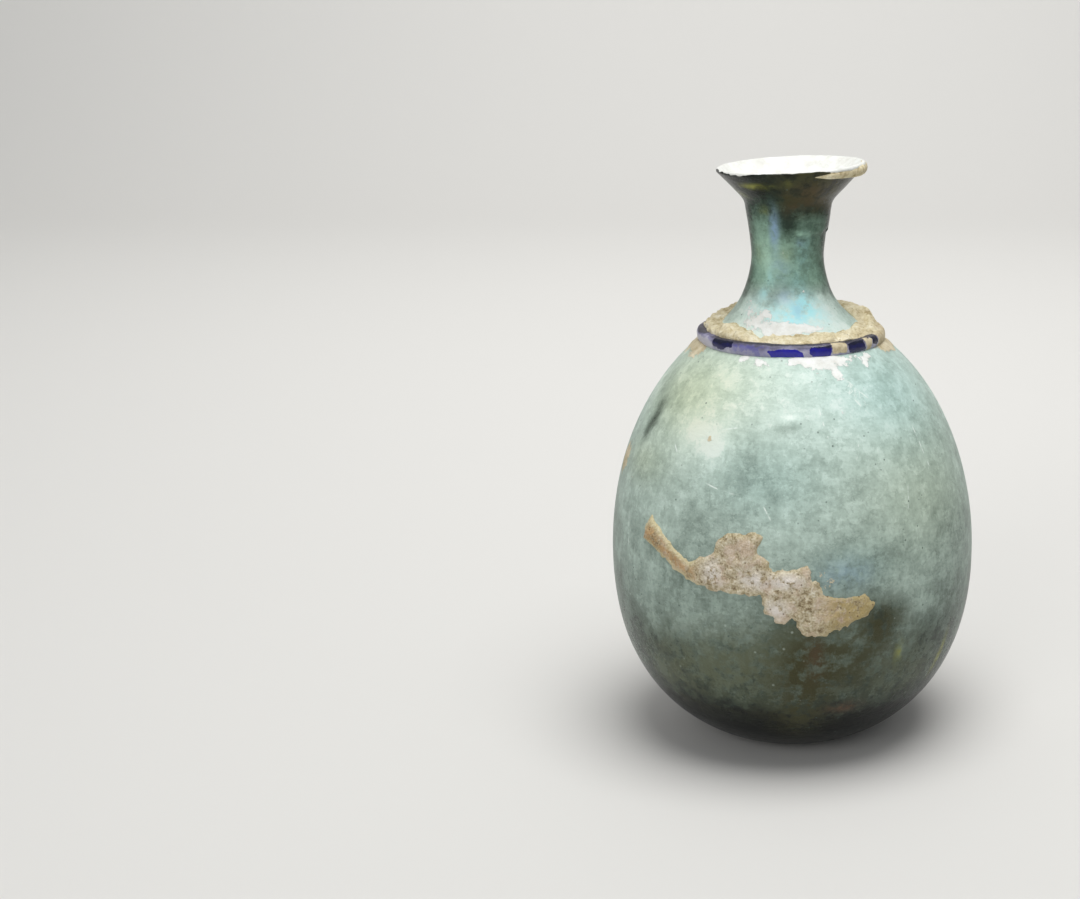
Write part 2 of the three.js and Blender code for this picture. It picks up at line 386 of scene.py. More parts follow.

# %% [markdown]
# ## Milky skin
# The pale look of the body is a skin that grew out of the glass itself. It is thick on the shoulder, thins
# towards the foot, where black glass shows, and is torn in places. One number per point says how thick it
# is, and the same number holds painted shade: the body is darker towards the foot partly as painted shade,
# the neck is darker at its sides as painted shade, and a bubble has a painted highlight above and a painted
# shadow below. A gradient alone would look sprayed on, so cloudy and bare patches are added, and torn edges
# where the skin ends: low on the body, round the neck's root, and under a flake on the right of the neck.

# %% Milky skin
# Skin by height: thick on the shoulder and thin at the foot. The darkening towards the foot is also painted
# shade from the light above.
SKIN_AND_SHADE_BY_HEIGHT = np.array([
    (0, -0.05), (8, 0.0), (12, 0.08), (16, 0.21), (20, 0.33), (27, 0.43), (34, 0.52), (42, 0.62), (52, 0.72),
    (62, 0.77), (72, 0.82), (84, 0.84), (91, 0.82), (94, 0.66), (97, 0.58), (103, 0.54), (108, 0.45),
    (111, 0.28), (114, 0.1), (118, 0.04),
])
SKIN_PATCHES = [
    (-0.46, -66.5, 69.3, 4.0, 9.0, 14),
    (-0.14, -72.8, 75.5, 4.0, 6.0),
    (0.1, -33, 69, 20, 9),
    (0.24, -29, 67.8, 5.5, 5.5),
    (0.12, -39, 69.6, 5.5, 4.5),
    (-0.09, -15, 67.5, 3.0, 10),
    (-0.07, -4, 62, 22, 12),
    (0.05, 4, 75, 30, 10),
    # Painted highlight along the top of the bubble and painted shadow just below it.
    (0.16, -1, 73.6, 3.4, 0.9),
    (-0.14, -1, 71.9, 4.0, 1.3),
    (0.05, 46, 76, 30, 18),
    (0.09, -36, 34.5, 18, 9),
    (0.12, -47, 30, 3.5, 3.5),
    (-0.11, -42, 25, 8, 11),
    (0.08, 40, 38, 16, 10),
    (-0.14, 48, 29, 11, 9),
    (-0.2, 28, 34.6, 10, 8),
    (0.07, -24, 25, 26, 14),
    (-0.07, -12, 23, 9, 5),
    (0.1, 3, 15, 8, 12),
    (0.18, -46, 12.5, 9, 2),
    (0.18, 44, 11.5, 12, 2),
    (0.27, -42, 100.5, 8, 14),
    (0.08, -19, 102, 5, 12),
    (-0.2, 0, 107.5, 3.2, 4.5),
    (0.1, -72, 115.2, 5, 3),
    (-0.1, 150, 62, 16, 24),
    (0.07, -140, 58, 26, 18),
    (-0.1, 120, 26, 24, 12),
]
BLACK_EDGES = [(-58, -3, 15.4), (13, 62, 13.2)]
VEIL_EDGE = 93.0
TORN_EDGE = 105.7


def torn_skin():
    """1 where a flake of skin still covers the upper right of the neck, ending in a jagged lower edge."""
    above = HEIGHT - TORN_EDGE - 0.5 * SMALL
    return smooth(above, -0.15, 0.15) * band(DEGREES, 6, 118, 6) * (1 - smooth(HEIGHT, 108, 113))


def torn_rim():
    """1 on the pale broken edge of that flake, where it faces the front."""
    above = HEIGHT - TORN_EDGE - 0.5 * SMALL
    return np.exp(-(above / 0.45) ** 2) * band(DEGREES, 10, 34, 5)


def milky_skin_and_shade():
    """How thick the milky skin is, with painted shade held in the same number: thick on the shoulder, thin
    below and darker towards the foot partly as painted shade, with bare and cloudy patches. Low on the body
    it ends in a ragged line. Round the neck's root a veil of it ends in another. The neck's sides are
    darkened as painted shade."""
    skin = np.interp(HEIGHT, *SKIN_AND_SHADE_BY_HEIGHT.T) + 0.05 * BROAD + 0.04 * MIDDLE + patches(SKIN_PATCHES)
    for left, right, height in BLACK_EDGES:
        bare = smooth(height + 1.8 * MIDDLE + 0.9 * SMALL - HEIGHT, -0.4, 1.2)
        skin = skin - 0.26 * bare * band(DEGREES, left, right, 6)
    veil = smooth(VEIL_EDGE + 1.9 * SMALL + 1.4 * MIDDLE - HEIGHT, -0.6, 1.0) * smooth(HEIGHT, 84, 87)
    skin = skin + 0.16 * veil + 0.2 * torn_rim() + 0.07 * torn_skin()
    # Painted shade: the skin is thinned at the neck's sides, so the neck darkens towards its edges as seen
    # from the front.
    sides = smooth(np.abs(DEGREES), 38, 84) * band(HEIGHT, 87, 112, 2)
    skin = skin - 0.22 * sides * (1 - smooth(np.abs(DEGREES), 100, 130))
    return np.where(ON_OUTSIDE > 0.5, skin, 0.45 + 0.1 * MIDDLE)


print("milky skin with", len(SKIN_PATCHES), "patches")

# %% [markdown]
# ## Stains and rainbow film
# Where only a few thin layers of skin are left, light between them gives cyan and blue glints, most of all
# on the neck. Minerals in the ground left olive, brown and yellow stains. A thin-film shader would colour
# the whole neck by the angle of view, so each glint and stain is a patch with its own colour instead.

# %% Stains and rainbow film
OLIVE_STAINS = [
    (0.85, 19, 27, 24, 17), (0.8, 3, 24.5, 12, 21), (0.6, 28, 34.5, 11, 9), (0.6, 3, 14, 9, 13),
    (0.4, 160, 18, 30, 14),
]
OLIVE_SKIN = [(0.8, -20, 25, 30, 17), (0.5, 8, 31, 24, 14), (0.5, -46, 22, 14, 13), (0.5, 40, 22, 20, 12)]
RUST_SPOTS = [
    (0.5, 7, 28, 3.5, 9), (0.9, 18.5, 15.5, 6.5, 2.6), (0.35, 15, 114.6, 8, 3), (0.3, 32, 113.2, 7, 4),
    (0.3, 12, 110.8, 5, 3),
]
YELLOW_STREAKS = [
    (0.9, -34, 115.7, 6.5, 1.1), (0.15, -1.5, 116.4, 1.8, 2.0), (0.5, -32, 110.4, 2.2, 1.6),
    (0.22, -49, 101.7, 3, 4), (0.3, -2, 101.8, 2.6, 3), (0.35, -62, 113.6, 4, 1.6),
    (1.0, 35.1, 26.7, 1.2, 3.8), (0.8, 57.8, 22.4, 1.6, 7.5, 12),
]
CYAN_GLINTS = [
    (0.9, 20, 92.0, 4.6, 4.4), (0.75, 5, 89.9, 5, 4), (0.45, -20, 89.8, 7, 3.4), (0.5, -33, 94.2, 2.4, 2.4),
    (0.3, 34, 90, 6, 4), (0.3, 26, 102, 3.2, 6), (0.35, -26, 97, 2, 4), (0.3, 14, 96, 3, 5),
]
BLUE_STREAKS = [
    (0.95, -19.5, 106.6, 1.9, 7.0), (0.55, 20, 104, 1.4, 1.3), (0.4, -4, 93.6, 3.4, 2.6),
    (0.4, -11, 98.8, 3.4, 5), (0.35, 11, 91, 2.4, 3), (0.3, 16, 45, 10, 6),
]
WARM_AREAS = [(0.9, -50, 76, 28, 17), (0.4, 48, 57, 30, 22), (0.5, -62, 62, 16, 8), (0.4, -150, 66, 40, 30)]
COOL_AREAS = [(0.8, 46, 76, 30, 18), (0.5, -8, 62, 22, 14), (0.5, 18, 46, 16, 9), (0.4, 140, 70, 40, 30)]


def olive_stain():
    """A brownish stain low on the front, and another over the right half of the flare's underside."""
    flare = smooth(HEIGHT, 108.0, 111.5) * band(DEGREES, -9, 125, 16) * (1 + 0.35 * MIDDLE)
    left = 0.1 * smooth(HEIGHT, 112, 116)
    return np.clip(patches(OLIVE_STAINS) + (flare + left) * ON_OUTSIDE, 0, 1.1)


def cyan_film():
    root = band(HEIGHT, 87.5, 93.5, 1.5) * band(DEGREES, -52, 46, 16)
    return np.clip(patches(CYAN_GLINTS) + 0.22 * root * ON_OUTSIDE, 0, 1)


print("rainbow film with", len(CYAN_GLINTS) + len(BLUE_STREAKS), "glints")

# %% [markdown]
# ## Lime and soil on the glass
# Water left white lime on the lip and in the mouth, and flakes of it under the thread. Sandy soil sticks
# below the thread at the sides and under the lip. Both lie on the glass and are thick enough to be felt, so
# their patches also raise the points in the next step. Separate thin meshes would flicker against the
# glass.

# %% Lime and soil on the glass
LIME_FLAKES = [
    (0.95, -9, 87.6, 8.0, 3.4), (0.6, -40, 89.1, 6.5, 4.2), (0.4, 30, 88, 9, 2.6),
    (0.5, 21.6, 94.5, 2.2, 1.5),
    (0.42, -24, 90.5, 5, 2.4), (0.4, 12, 87.6, 6, 1.6), (0.36, -52, 92, 4, 3),
    (0.74, -28.6, 83.0, 3.4, 1.6), (0.7, -18, 82.4, 4.2, 1.7), (0.75, 0.8, 82.9, 3.0, 1.6),
    (0.75, 9, 82.7, 4.0, 2.4), (0.78, 18, 82.6, 4.2, 2.6), (0.7, 26.5, 82.8, 4.0, 2.2),
    (0.6, 37, 82.8, 3.0, 1.9), (0.7, 48.4, 82.6, 3.4, 2.1), (0.58, 13, 80.6, 2.2, 1.4),
    (0.7, 22.5, 80.3, 2.8, 2.4), (0.5, 31.5, 81.2, 2.4, 1.8), (0.5, 43, 81.5, 2.4, 1.7),
    (0.4, -29, 67.6, 3.8, 3.8), (0.3, 20, 74, 3, 4), (0.6, 150, 82.4, 8, 3), (0.5, -150, 82.4, 6, 2.6),
]
SOIL_PATCHES = [
    (0.95, -80, 60.0, 6.0, 8.0), (0.62, -66, 57.4, 2.4, 3.4), (0.55, 29, 84.2, 10, 1.6),
    (0.5, 8.5, 45.6, 2.6, 2.2), (0.5, 12, 44.0, 2.4, 2.0), (0.5, 10, 42.6, 3.0, 1.8),
    (0.95, -31.3, 69.1, 1.3, 1.3), (0.5, -140, 83, 12, 4), (0.36, -28, 84.2, 10, 1.2),
]


def lime():
    """White lime: on top of the lip and down the funnel, round the neck's root, and in flakes under the
    thread. It covers the whole lip on the right, and elsewhere ends on it in a jagged line."""
    whole = band(DEGREES, 30, 150, 8)
    frayed = band(DEGREES, -84, -36, 8)
    jagged = 0.36 - 0.4 * whole - 0.2 * frayed + (0.2 + 0.25 * frayed) * SMALL * (1 - whole)
    lip = smooth(INWARD - jagged, 0, 0.24) * smooth(HEIGHT, 108.5, 113) * smooth(INWARD, 0, 0.1)
    return np.clip(lip + patches(LIME_FLAKES), 0, 1.2)


def clinging_soil():
    """Tan soil on the shoulder under the thread, at both sides and round the back, and a few patches."""
    side = smooth(np.abs(DEGREES - 2), 52, 72)
    shoulder = side * np.exp(-((HEIGHT - 83.4) / (1.9 + 1.0 * BROAD)) ** 2) * ON_OUTSIDE
    below_lip = smooth(HEIGHT, 116.4, 117.4) * (1 - smooth(INWARD, 0.3, 0.6))
    return np.clip(shoulder + band(DEGREES, 34, 150, 14) * below_lip + patches(SOIL_PATCHES), 0, 1.2)


WEATHERING = {
    "skin": milky_skin_and_shade(),
    "stain": olive_stain(),
    "olive": np.clip(patches(OLIVE_SKIN), 0, 1),
    "rust": np.clip(patches(RUST_SPOTS), 0, 1),
    "yellow": np.clip(patches(YELLOW_STREAKS), 0, 1),
    "cyan": cyan_film(),
    "blue": np.clip(patches(BLUE_STREAKS), 0, 1),
    "warm": np.clip(patches(WARM_AREAS), 0, 1),
    "cool": np.clip(patches(COOL_AREAS), 0, 1),
    "neck": band(HEIGHT, 95, 116, 2) * ON_OUTSIDE,
    "lime": lime(),
    "soil": clinging_soil(),
}
for label, values in WEATHERING.items():
    print(label, "from", round(float(values.min()), 2), "to", round(float(values.max()), 2))

# %% [markdown]
# ## Scratches and relief
# A scratch is far thinner than the grid, so it can't be painted on the points. Instead each point stores
# its signed distance to the nearest scratch. Between points that distance changes evenly, so the material
# finds the exact line where it is zero. Relief that shows in the outline is real: the waviness of blown
# glass, two bubbles, the torn edge of a skin on the neck, and the thickness of lime and soil.

# %% Measure the scratches and raise the relief
SCRATCHES = [
    (-23.0, 60.3, 8.0, 102),
    (31.0, 77.6, 5.4, 137),
    (27.5, 77.9, 3.6, 150),
    (28.5, 75.6, 6.0, 143),
    (-46.6, 67.0, 6.0, 135),
    (-25.0, 71.2, 5.2, 81),
    (-62.0, 48.0, 9.0, -10),
    (12.0, 72.5, 7.0, 168),
    (24.0, 68.0, 5.0, 20),
    (40.0, 58.0, 6.0, 12),
    (-8.0, 57.0, 4.0, 150),
    (52.0, 66.0, 9.0, 172),
]
SCRATCH_REACH = 4.0
SCRATCH_BOW = 0.012
TORN_SKIN = 0.3


def scratch_lines():
    """Signed distance in mm across the nearest scratch, and a share that is 1 on it and fades at its ends."""
    nearest = np.full(ON_OUTSIDE.shape, SCRATCH_REACH)
    across_line = nearest.copy()
    share = np.zeros_like(nearest)
    for degrees, height, length, lean in SCRATCHES:
        along, across = from_patch(degrees, height, lean)
        bowed = across + SCRATCH_BOW * along ** 2
        beyond = np.maximum(np.abs(along) - length / 2, 0)
        away = np.hypot(bowed, beyond)
        closer = away < nearest
        across_line = np.where(closer, bowed, across_line)
        share = np.where(closer, 1 - smooth(np.abs(along), length / 2 - 1.2, length / 2), share)
        nearest = np.minimum(nearest, away)
    return across_line, share


def relief():
    """How far each point stands out from the true form, in mm."""
    blown = 0.12 * bumps(SPOT, 22.0, 2, seed=3) * smooth(HEIGHT, 4, 12)
    bubble = 0.7 * blot(-1, 72.6, 3.2, 2.2) - 0.16 * blot(-1, 70.6, 5.2, 4.0)
    dent = -0.2 * blot(-66.5, 69.3, 4.5, 8.0)
    raised = (blown + bubble + dent + TORN_SKIN * torn_skin()) * ON_OUTSIDE
    crusted = np.maximum(smooth(WEATHERING["lime"], 0.35, 0.8), smooth(WEATHERING["soil"], 0.35, 0.8))
    crumb = 0.16 - 0.11 * smooth(HEIGHT, 100, 110)
    return raised + crumb * crusted * (1 + 0.7 * bumps(SPOT, 1.6, 2, seed=4))


def glass_points():
    """The turned form moved along its normals by the relief."""
    out = relief()
    radius = RADIUS + OUTWARDS[:, :1] * out
    height = HEIGHT + OUTWARDS[:, 1:] * out
    return round_about(TURN, radius, height)


def turned_faces(rows, columns):
    """Quads of a grid closed round the axis, whose first and last rows are single points."""
    index = np.arange((rows - 2) * columns).reshape(rows - 2, columns) + 1
    right = np.roll(index, -1, axis=1)
    quads = np.stack([index[:-1], right[:-1], right[1:], index[1:]], axis=-1).reshape(-1, 4)
    start = np.stack([np.zeros(columns, int), right[0], index[0]], axis=-1)
    last = np.full(columns, index[-1, -1] + 1)
    end = np.stack([index[-1], right[-1], last], axis=-1)
    return [*start, *quads, *end]


def without_repeats(values):
    """A grid of values as one row of points, with a single point for the first row and for the last."""
    flat = values.reshape(values.shape[0], values.shape[1], -1)
    return np.vstack([flat[0, :1], flat[1:-1].reshape(-1, flat.shape[2]), flat[-1, :1]])


print(len(SCRATCHES), "scratches")

# %% [markdown]
# ## Weathered aqua glass
# Soda-lime glass that has lain in damp ground loses its soda: the surface turns into a milky skin of thin
# layers, dull where it is thick, glossy and dark where it has flaked off, and rainbow-coloured where a few
# layers are left. One shader holds all of it. A colour ramp runs from bare dark glass to thick pale skin,
# and the stored patches, torn by noise at real sizes, lay rainbow film, stains, soil and lime over it.

# %% Shader tools
EVEN = (1, 1, 1)
# A range node carries input 0 from the limits 1 and 2 to the limits 3 and 4, on an S-shaped curve.
SOFT = {"interpolation_type": "SMOOTHSTEP"}


def new_material(name):
    """An empty material, its tree of nodes, and the object's own coordinates."""
    material = bpy.data.materials.new(name)
    material.use_nodes = True
    tree = material.node_tree
    tree.nodes.clear()
    return material, tree, add(tree, "TexCoord", out="Object")


def grains(tree, coords, table):
    """Noises from 0 to 1 by name. A row of the table gives the lumps' size in mm, detail, roughness, and how
    closely they are packed along each axis: below 1 they are longer that way."""
    noises = {}
    for name, (size, detail, roughness, packing) in table.items():
        scale = [share / (size * MM) for share in packing]
        spot = add(tree, "Mapping", {"Vector": coords, "Scale": scale})
        inputs = {"Vector": spot, "Scale": 1.0, "Detail": detail, "Roughness": roughness}
        noises[name] = add(tree, "TexNoise", inputs)
    return noises


def roughened(tree, base, *noises):
    """The base plus each noise, taken about its middle value of one half and given a strength."""
    total = base
    for noise, strength in noises:
        centred = add(tree, "Math", {0: noise, 1: 0.5}, operation="SUBTRACT")
        total = add(tree, "Math", {0: centred, 1: strength, 2: total}, operation="MULTIPLY_ADD")
    return total


def torn_patch(tree, label, limits, *noises):
    """A stored patch with a ragged edge: noise is added to it, and it is cut off between two limits."""
    patch = add(tree, "Attribute", out="Fac", attribute_name=label)
    rough = roughened(tree, patch, *noises)
    return add(tree, "MapRange", {0: rough, 1: limits[0], 2: limits[1]}, **SOFT)


def specks(tree, coords, spacing, size, noise, limits, strength):
    """Round specks of a given size in mm, one in each cell of a given spacing, where a noise is high."""
    away = add(tree, "TexVoronoi", {"Vector": coords, "Scale": 1 / (spacing * MM)}, out="Distance")
    radius = size / spacing / 2
    inside = add(tree, "MapRange", {0: away, 1: radius, 2: radius / 2, 4: strength}, **SOFT)
    kept = add(tree, "MapRange", {0: noise, 1: limits[0], 2: limits[1]}, **SOFT)
    return add(tree, "Math", {0: inside, 1: kept}, operation="MULTIPLY")


def layered(tree, colour, layers):
    """A colour with further colours laid over it in turn, each by a share from 0 to 1."""
    for top, share in layers:
        colour = add(tree, "Mix", {0: share, 6: colour, 7: top}, out=2, data_type="RGBA")
    return colour


def matt_surface(tree, colour, height, strength, depth):
    """The dry, dusty surface of soil: quite rough, with little shine, and grain of a given depth in mm."""
    bump = add(tree, "Bump", {"Height": height, "Strength": strength, "Distance": depth * MM})
    inputs = {"Base Color": colour, "Normal": bump, "Roughness": 0.95, "Specular IOR Level": 0.2}
    return add(tree, "BsdfPrincipled", inputs)


print("shader tools ready")

# %% Make the weathered glass
GLASS_GRAINS = {
    "cloud": (11, 5, 0.55, EVEN),
    "mottle": (2.6, 7, 0.68, EVEN),
    "fine": (0.6, 3, 0.6, EVEN),
    "run": (1.3, 4, 0.6, (1, 1, 0.12)),
    "brushed": (0.9, 5, 0.65, (0.3, 0.3, 1)),
    "flake": (3.6, 8, 0.7, EVEN),
    "gap": (1.4, 3, 0.5, EVEN),
}
SKIN_RAMP = [
    (0.0, "#0b0f0e"),
    (0.14, "#1b2320"),
    (0.3, "#3a453d"),
    (0.45, "#67756b"),
    (0.6, "#90a096"),
    (0.76, "#b4c6bb"),
    (0.9, "#cfe0d6"),
    (1.0, "#e2ece4"),
]
UNEVEN_SKIN = {"cloud": 0.2, "mottle": 0.34, "run": 0.14, "brushed": 0.16, "fine": 0.18, "flaked": 0.06}
TINTS = {"warm": "#f9f2dc", "cool": "#e6f5f9", "neck": "#dff7ea"}
FILMS = {
    "cyan": "#b4ecf0",
    "blue": "#93b0cf",
    "olive": "#5e624a",
    "stain": "#403f27",
    "rust": "#5c4737",
    "yellow": "#97983f",
}
SAND_RAMP = [(0.3, "#b3a481"), (0.7, "#e6dcc2")]
CHALK_RAMP = [(0.3, "#d9d8d0"), (0.62, "#eff0ec")]


def stained(tree, colour, mottle):
    """A colour seen through tints, with films and stains over it, each by its patch torn by the mottle."""
    for label, tint in TINTS.items():
        share = add(tree, "Attribute", out="Fac", attribute_name=label)
        mixed = {0: share, 6: colour, 7: tint}
        colour = add(tree, "Mix", mixed, out=2, data_type="RGBA", blend_type="MULTIPLY")
    torn = add(tree, "MapRange", {0: mottle, 1: 0.38, 2: 0.56, 3: 0.3}, **SOFT)
    for label, film in FILMS.items():
        patch = add(tree, "Attribute", out="Fac", attribute_name=label)
        share = add(tree, "Math", {0: patch, 1: torn}, operation="MULTIPLY")
        colour = add(tree, "Mix", {0: share, 6: colour, 7: film}, out=2, data_type="RGBA")
    return colour


def scratch_marks(tree, gap):
    """A line where the distance across a scratch is near zero, fading at its ends and broken up by gaps."""
    across = add(tree, "Attribute", out="Fac", attribute_name="scratch")
    share = add(tree, "Attribute", out="Fac", attribute_name="scratch share")
    away = add(tree, "Math", {0: across}, operation="ABSOLUTE")
    line = add(tree, "MapRange", {0: away, 1: 0.2, 2: 0.05}, **SOFT)
    left = add(tree, "MapRange", {0: gap, 1: 0.4, 2: 0.6, 4: 0.85}, **SOFT)
    whole = add(tree, "Math", {0: line, 1: share}, operation="MULTIPLY")
    return add(tree, "Math", {0: whole, 1: left}, operation="MULTIPLY")


def weathered_glass():
    """Corroded soda-lime glass: dull where the skin is thick, with a soft gloss where it is bare."""
    material, tree, coords = new_material("weathered aqua glass")
    grain = grains(tree, coords, GLASS_GRAINS)
    mottle, fine = grain["mottle"], grain["fine"]
    grain["flaked"] = add(tree, "MapRange", {0: grain["flake"], 1: 0.5, 2: 0.53}, **SOFT)
    # The stored skin also holds painted shade: darker towards the foot and at the neck's sides, and a painted
    # highlight and shadow on a bubble.
    stored_skin_and_shade = add(tree, "Attribute", out="Fac", attribute_name="skin")
    skin = roughened(tree, stored_skin_and_shade, *[(grain[name], strength) for name, strength in UNEVEN_SKIN.items()])
    soil = torn_patch(tree, "soil", (0.47, 0.55), (mottle, 1.3), (fine, 0.5))
    lime_flakes = torn_patch(tree, "lime", (0.47, 0.53), (mottle, 1.5), (fine, 0.5))
    flecks = specks(tree, coords, 3.1, 0.7, mottle, (0.44, 0.56), 0.6)
    layers = [
        ("#4f5d56", specks(tree, coords, 2.2, 0.5, grain["cloud"], (0.44, 0.56), 0.75)),
        ("#d6e4da", add(tree, "Math", {0: flecks, 1: stored_skin_and_shade}, operation="MULTIPLY")),
        ("#e6efe8", scratch_marks(tree, grain["gap"])),
        (add(tree, "ValToRGB", {"Fac": mottle}, ramp=SAND_RAMP), soil),
        (add(tree, "ValToRGB", {"Fac": mottle}, ramp=CHALK_RAMP), lime_flakes),
    ]
    skin_and_shade_colour = add(tree, "ValToRGB", {"Fac": skin}, ramp=SKIN_RAMP)
    colour = layered(tree, stained(tree, skin_and_shade_colour, mottle), layers)
    coat = add(tree, "Math", {0: lime_flakes, 1: soil}, operation="MAXIMUM")
    limits = {0: skin, 1: 0.15, 2: 0.9, 3: 0.22, 4: 0.48}
    roughness = add(tree, "Mix", {0: coat, 2: add(tree, "MapRange", limits, **SOFT), 3: 0.92})
    raised = add(tree, "Math", {0: coat, 1: 0.5}, operation="MULTIPLY")
    uneven = [(mottle, 0.4), (grain["brushed"], 0.3), (fine, 0.3), (grain["flaked"], 0.1)]
    height = roughened(tree, raised, *uneven)
    bump = add(tree, "Bump", {"Height": height, "Strength": 0.6, "Distance": 0.35 * MM})
    inputs = {"Base Color": colour, "Roughness": roughness, "Normal": bump}
    surface = add(tree, "BsdfPrincipled", {**inputs, "IOR": 1.5, "Specular IOR Level": 0.16})
    add(tree, "OutputMaterial", {"Surface": surface})
    return material


glass_attributes = {label: without_repeats(values) for label, values in WEATHERING.items()}
scratch_across, scratch_share = scratch_lines()
glass_attributes["scratch"] = without_repeats(scratch_across)
glass_attributes["scratch share"] = without_repeats(scratch_share)
flask = mesh_piece(
    "flask",
    without_repeats(glass_points()),
    turned_faces(*SPOT.shape[:2]),
    glass_attributes,
    weathered_glass(),
)
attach(flask, "root")
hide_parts("glass_flask")

# %% [markdown]
# ## The blue thread
# The blower trailed a hot thread of cobalt glass round the shoulder. It sagged a little, so its section is
# a squared circle, and its path wavers. A bevelled curve would give an even pipe, so it is a grid instead:
# one direction runs round the shoulder and the other round the section. Its milky film has flaked off in
# windows, each given by two angles round the shoulder and two round the section, with edges moved about by
# bumps.

# %% Lay the thread
COIL_RADIUS = 17.75
COIL_HEIGHT = 84.6
COIL_THICKNESS = 2.75
COIL_SQUARENESS = 2.7
COIL_COLUMNS = 420
COIL_ROWS = 28
CLEAR_WINDOWS = [
    (-13, 6.5, -78, 14, 1.0),
    (12, 24.5, -74, 48, 0.85),
    (-54, -36, -6, 66, 0.3),
    (36.5, 51, -40, 58, 0.3),
    (57, 64, -5, 80, 0.0),
    (-104, -97, 0, 85, 0.1),
    (128, 150, -50, 30, 0.4),
    (-168, -140, -40, 40, 0.4),
]
BLUISH_FILM = (-36, -14)
SOIL_ON_THREAD = [(25, 35, -20, 80), (52, 56.5, -60, 90), (65, 128, -80, 120), (-130, -108, -60, 120)]
PALE_END = (-96, -56)
DARK_TIP = (-92, -70)


def squared(value, power):
    """A sine or cosine pulled out towards a square."""
    return np.sign(value) * np.abs(value) ** (2 / power)


def window(turn_degrees, section_degrees, left, right, low, high, blur):
    """1 inside limits round the shoulder and round the section, with blurred edges."""
    return band(turn_degrees, left, right, blur) * band(section_degrees, low, high, 6 * blur)


def thread_weathering(around, across):
    """Where the film and soil of the thread are, how vivid the bare glass is, and the film's tone with
    painted light and shade: paler across the lower front, and a painted shadow along the top where the thread
    meets the soil.
    """
    clear = np.zeros(np.broadcast(around, across).shape)
    vivid = np.zeros_like(clear)
    for left, right, low, high, strength in CLEAR_WINDOWS:
        clear = np.maximum(clear, window(around, across, left, right, low, high, 1.8))
        vivid = np.maximum(vivid, strength * window(around, across, left - 3, right + 3, -100, 30, 2.0))
    bluish = band(around, *BLUISH_FILM, 4) * band(across, -60, 45, 15)
    film = 1 - clear
    soil = np.zeros_like(clear)
    for limits in SOIL_ON_THREAD:
        soil = np.maximum(soil, window(around, across, *limits, 2.2))
    # Film tone with painted light and shade: paler across the lower front, and a painted shadow along the top
    # where the thread meets the soil. The left end is made paler, and darker on top near its tip.
    film_tone_and_painted_light = band(across, -58, 20, 14) * 0.45 + band(across, -62, 60, 10) * 0.3
    pale = 0.45 * band(around, *PALE_END, 5) - 0.75 * band(around, *DARK_TIP, 4) * smooth(across, 15, 55)
    film_tone_and_painted_light = np.clip(film_tone_and_painted_light + pale, 0, 1.2)
    return {"film": film, "bluish": bluish, "soil": soil, "vivid": vivid, "film_tone_and_painted_light": film_tone_and_painted_light}


def thread_grid():
    """A squared circle carried round the shoulder, with a wavering path and a slightly changing thickness."""
    turn = np.linspace(-math.pi, math.pi, COIL_COLUMNS, endpoint=False)[None, :]
    section = np.linspace(-math.pi, math.pi, COIL_ROWS, endpoint=False)[:, None]
    path = np.concatenate([COIL_RADIUS * np.sin(turn), COIL_RADIUS * np.cos(turn), 0 * turn]).T
    half = COIL_THICKNESS / 2 * (1 + 0.07 * bumps(path, 7.0, 2, seed=11))[None, :]
    waver = 0.16 * bumps(path, 12.0, 1, seed=12)[None, :]
    radius = COIL_RADIUS + half * squared(np.cos(section), COIL_SQUARENESS)
    height = COIL_HEIGHT + waver + half * squared(np.sin(section), COIL_SQUARENESS)
    points = round_about(turn, radius, height)
    pitted = points + 0.05 * bumps(points, 1.2, 2, seed=13)[..., None] * (points - points.mean(0)) / 2
    around = np.degrees(turn) + 2.2 * bumps(points, 1.6, 2, seed=14)
    across = np.degrees(section) + 15 * bumps(points, 1.8, 2, seed=15)
    return pitted, thread_weathering(around, across)


print("thread of", COIL_COLUMNS, "by", COIL_ROWS, "points")

# %% [markdown]
# ## Cobalt glass
# A little cobalt makes glass so blue that a thick thread is nearly black, and vivid only where light comes
# through. Most of it is hidden by a lilac-grey film, and light and shade are painted into the film's colour:
# paler across the lower front, with a painted shadow along the top where the thread meets the soil. Real
# glass with light passing through would need the dark body behind it too, so the blue is a colour ramp
# instead. The film and the soil are stored patches with ragged edges, as on the body.

# %% Make the cobalt glass
THREAD_GRAINS = {"mottle": (1.3, 5, 0.65, EVEN), "fine": (0.4, 2, 0.5, EVEN)}
BLUE_RAMP = [(0.05, "#14152e"), (0.4, "#1d1d58"), (0.8, "#1b1980"), (1.0, "#24229c")]
# The film's lilac-grey, from the painted shadow along the top to the painted light on the lower front.
FILM_TONE_AND_SHADE_RAMP = [(0.05, "#33303e"), (0.35, "#625f78"), (0.65, "#8e8ba8"), (0.95, "#c0bdc8")]
THREAD_SAND_RAMP = [(0.3, "#a4916c"), (0.7, "#dfd4b6")]


